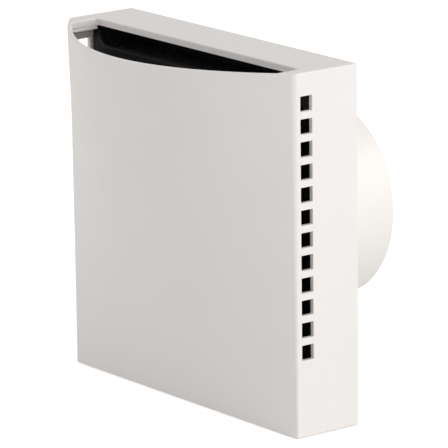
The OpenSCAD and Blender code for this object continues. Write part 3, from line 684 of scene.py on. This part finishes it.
def make_filter_foam():
    """Coarse filter sheet between the bars of its cassette."""
    inset = FILTER_BORDER - 0.1
    xs = np.linspace(inset - FILTER_HALF, FILTER_HALF - inset, 150)
    zs = np.linspace(FILTER_LOW + inset, FILTER_TOP - inset, 132)
    faces = []
    for y, into, seed in ((FILTER_DEPTH[0] + FILTER_BAR, 1, 7), (FILTER_DEPTH[1] - FILTER_BAR, -1, 8)):
        flat = [(x, y, z) for z in zs for x in xs]
        faces.append([(x, y + into * pit, z) for (x, y, z), pit in zip(flat, pitted(flat, 0.5, 2.2, seed))])
    pad = smooth(sheet_between("filter_foam_sheet", faces[0], faces[1], len(xs)))
    dressed(pad, "filter_foam", "filter", "filter_media")


def make_wall_seal():
    """Foam ring round the spigot, crowned where it meets the wall."""
    inner, outer = SEAL_RING
    crown = [(inner + 0.1 + (outer - inner - 0.2) * t, SEAL_DEPTH[1] - 0.45 * (2 * t - 1) ** 4)
             for t in np.linspace(0, 1, 13)]
    base = [(outer - 0.05, SEAL_DEPTH[0]), (inner + 0.05, SEAL_DEPTH[0])]
    ring = revolved("wall_seal_ring", base + crown)
    dressed(smooth(ring), "seal_foam", "housing", "wall_seal")


# ---- Impeller, windings and shutter spring ----

def blade_point(u, v, side):
    """Point on a blade: u along the chord, v from root to tip, side -1 or 1."""
    r = BLADE_RADII[0] + (BLADE_RADII[1] - BLADE_RADII[0]) * v - (0.6 * (1 - v) ** 8)
    chord = 29 + 4 * v
    angle = chord * (u - 0.5) + 9.8 * u * (1 - u) + 9 * v * v
    drop = BLADE_DEPTH[1] - BLADE_DEPTH[0]
    pitch = math.atan(drop / (r * math.radians(chord)))
    thick = 0.18 + 0.57 * math.sin(math.pi * u)
    a = math.radians(angle) - side * thick * math.sin(pitch) / r
    return r * math.cos(a), BLADE_DEPTH[0] + drop * u + side * thick * math.cos(pitch), r * math.sin(a)


def make_impeller():
    """Hub with a rounded nose and blades with thin, rounded edges."""
    hub = revolved("hub", [(SHAFT_RADIUS, -20), (27, -20), (28, -19), (28, -6), (26, -6), (26, -17.8), (5, -17.8),
                           (5, -8), (SHAFT_RADIUS, -8)])
    parts = [softened(hub, 0.45, 3)]
    us, vs = np.linspace(0, 1, 25), np.linspace(0, 1, 15)
    for k in range(BLADES):
        a = 2 * math.pi * k / BLADES
        c, s = math.cos(a), math.sin(a)
        sides = []
        for side in (1, -1):
            flat = [blade_point(u, v, side) for v in vs for u in us]
            sides.append([(x * c + z * s, y, z * c - x * s) for x, y, z in flat])
        parts.append(softened(sheet_between("blade", sides[0], sides[1], len(us)), 0.16, 2, 40))
    for k in range(BLADES * 2):
        a = math.pi * (k + 0.5) / BLADES
        rib = [(r * math.cos(a) + t * math.sin(a), y, r * math.sin(a) - t * math.cos(a))
               for r in (4.6, 26.3) for y in (-18.2, -15.4 if r > 20 else -14.6) for t in (-0.5, 0.5)]
        parts.append(softened(build("rib", rib, BOX_FACES), 0.2, 2))
    dressed(joined("impeller_moulding", parts), "impeller_plastic", "rotor", "impeller")


def make_windings():
    """Four coils of enamelled wire, wound round the bobbins turn by turn."""
    wire, turns, layers = 0.29, 5, 3
    inner, outer = COIL_RADII[0] + wire, COIL_RADII[1] - wire
    loops = []
    for pole in range(4):
        c, s = math.cos(math.pi / 2 * pole), math.sin(math.pi / 2 * pole)
        for layer in range(layers):
            across, along = (half - wire - layer * wire * 1.75 for half in COIL_OUTER)
            bend = 2.0 - layer * 0.4
            for turn in range(turns - layer % 2):
                r = inner + (outer - inner) * (turn + layer % 2 / 2) / (turns - 1)
                path = []
                for quarter, (sz, sy) in enumerate(((1, 1), (-1, 1), (-1, -1), (1, -1))):
                    for step in range(5):
                        a = math.radians(90 * quarter + 22.5 * step)
                        z = sz * (across - bend) + bend * math.cos(a)
                        y = STACK_MIDDLE + sy * (along - bend) + bend * math.sin(a)
                        path.append((r * c + z * s, y, z * c - r * s))
                loops.append(smooth(swept("turn", path, wire, 6, closed=True)))
    dressed(joined("coil_turns", loops), "copper_wire", "housing", "stator_windings")


def make_shutter_spring():
    """Torsion spring on the shutter's pin, with one leg on each flap."""
    steps = SPRING_TURNS * 32
    coil = [(SPRING_RADIUS * math.cos(2 * math.pi * i / 32), PIN_Y + SPRING_RADIUS * math.sin(2 * math.pi * i / 32),
             SPRING_PITCH * SPRING_TURNS * (i / steps - 0.5)) for i in range(steps + 1)]
    coil = swept("shutter_spring_coil", coil, SPRING_WIRE * 0.98, 12)
    dressed(smooth(coil), "spring_steel", "housing", "shutter_spring")
    rest = FLAP_BACK + SPRING_WIRE + 0.02
    for side, body, node in ((-1, "left_shutter", "left_spring_leg"), (1, "right_shutter", "right_spring_leg")):
        z = side * LEG_Z
        bent = [(0.4, PIN_Y + 1.75), (1.5, PIN_Y + 1.5), (2.6, PIN_Y + 1.15), (3.5, PIN_Y + 0.55), (4.4, rest + 0.03),
                (5.5, rest), (14, rest)]
        leg = swept(node + "_wire", [(side * x, y, z) for x, y in bent], SPRING_WIRE * 0.98, 12)
        dressed(smooth(leg), "spring_steel", body, node)


# ---- CAD nodes that keep their shape ----

def finish_cad_nodes():
    for name, obj in frame["nodes"].items():
        surface = SURFACES[SLOT_OF[name]].material
        if not obj.material_slots:
            obj.data.materials.append(surface)
        for place in obj.material_slots:
            place.material = surface
        if obj.hide_render:
            continue
        custom = obj.data.attributes.get("custom_normal")
        if custom:
            obj.data.attributes.remove(custom)
        weld = obj.modifiers.new("weld", "WELD")
        weld.merge_threshold = 2e-6
        if name not in PIERCED:
            flat = obj.modifiers.new("flat", "DECIMATE")
            flat.decimate_type = "DISSOLVE"
            flat.angle_limit = math.radians(0.4)
        softened(obj, EDGE_WIDTH.get(name, SMALL_EDGE), 2)


# ---- Stage, lights and camera ----

def looking(back, roll=0.0):
    """Rotation for something that looks along -back, turned about its own axis."""
    back = Vector(back).normalized()
    right = Vector((0, 0, 1)).cross(back).normalized()
    up = back.cross(right)
    c, s = math.cos(roll), math.sin(roll)
    x, y = c * right + s * up, -s * right + c * up
    return Matrix((x, y, back)).transposed()


def make_stage():
    """A white paper floor that the camera sees, a second one that only lights the object, and a white surround."""

    def plane(name, z, glow):
        paper = Surface(name, 0.9, Specular_IOR_Level=0.0)
        paper.colour(paper.mix(paper.remap(paper.noise(60, 3), 0, 1), (0.80, 0.80, 0.80), (0.82, 0.82, 0.82)))
        paper.shader.inputs["Emission Color"].default_value = (1, 1, 1, 1)
        paper.shader.inputs["Emission Strength"].default_value = glow
        mesh = bpy.data.meshes.new(name)
        mesh.from_pydata([(-6, -6, z), (6, -6, z), (6, 6, z), (-6, 6, z)], [], [(0, 1, 2, 3)])
        obj = bpy.data.objects.new(name, mesh)
        obj.data.materials.append(paper.material)
        return obj

    floor = plane("floor", cad_low.z - 0.0005, FLOOR_GLOW)
    bounce = plane("floor_bounce", cad_low.z - 0.0010, BOUNCE_GLOW)
    bounce.visible_camera = False

    glow = bpy.data.materials.new("backdrop_white")
    glow.use_nodes = True
    glow.node_tree.nodes.clear()
    shine = glow.node_tree.nodes.new("ShaderNodeEmission")
    out = glow.node_tree.nodes.new("ShaderNodeOutputMaterial")
    glow.node_tree.links.new(shine.outputs[0], out.inputs[0])
    bm = bmesh.new()
    bmesh.ops.create_icosphere(bm, subdivisions=4, radius=7.0)
    mesh = bpy.data.meshes.new("backdrop")
    bm.to_mesh(mesh)
    bm.free()
    dome = bpy.data.objects.new("backdrop", mesh)
    dome.data.materials.append(glow)
    for obj in (floor, bounce, dome):
        SCENE.collection.objects.link(obj)
    for obj in (floor, dome):
        obj.visible_diffuse = obj.visible_glossy = obj.visible_transmission = obj.visible_shadow = False


def softbox(name, azimuth, elevation, distance, size, power):
    """A square area light aimed at the object's middle; azimuth 0 is in front of the fan and 90 on its right."""
    data = bpy.data.lights.new(name, "AREA")
    data.shape = "RECTANGLE"
    data.size, data.size_y = size
    data.energy = power
    lamp = bpy.data.objects.new(name, data)
    a, e = math.radians(azimuth), math.radians(elevation)
    back = Vector((math.sin(a) * math.cos(e), -math.cos(a) * math.cos(e), math.sin(e)))
    lamp.location = back * distance
    lamp.rotation_mode = "QUATERNION"
    lamp.rotation_quaternion = looking(back).to_quaternion()
    SCENE.collection.objects.link(lamp)


def make_light():
    world = bpy.data.worlds.new("studio")
    SCENE.world = world
    world.use_nodes = True
    world.node_tree.nodes["Background"].inputs["Color"].default_value = (1, 1, 1, 1)
    world.node_tree.nodes["Background"].inputs["Strength"].default_value = WORLD_LIGHT
    for name, (azimuth, elevation, distance, size, power) in SOFTBOXES.items():
        softbox(name, azimuth, elevation, distance, size, power)
    SCENE.view_settings.view_transform = "Standard"
    SCENE.view_settings.look = "None"


def make_camera():
    azimuth, elevation, roll = (math.radians(d) for d in CAMERA_ANGLES)
    back = Vector((math.sin(azimuth) * math.cos(elevation), -math.cos(azimuth) * math.cos(elevation),
                   math.sin(elevation)))
    data = bpy.data.cameras.new("camera")
    data.lens, data.sensor_width = 360.0, 36.0
    data.clip_start, data.clip_end = 0.1, 30.0
    camera = bpy.data.objects.new("camera", data)
    camera.location = CAMERA_PLACE
    camera.rotation_mode = "QUATERNION"
    camera.rotation_quaternion = looking(back, roll).to_quaternion()
    SCENE.collection.objects.link(camera)
    SCENE.camera = camera


make_camera()
make_light()
make_stage()
make_cover()
make_chassis_bead()
make_acoustic_foam()
make_filter_foam()
make_wall_seal()
make_impeller()
make_windings()
make_shutter_spring()
finish_cad_nodes()
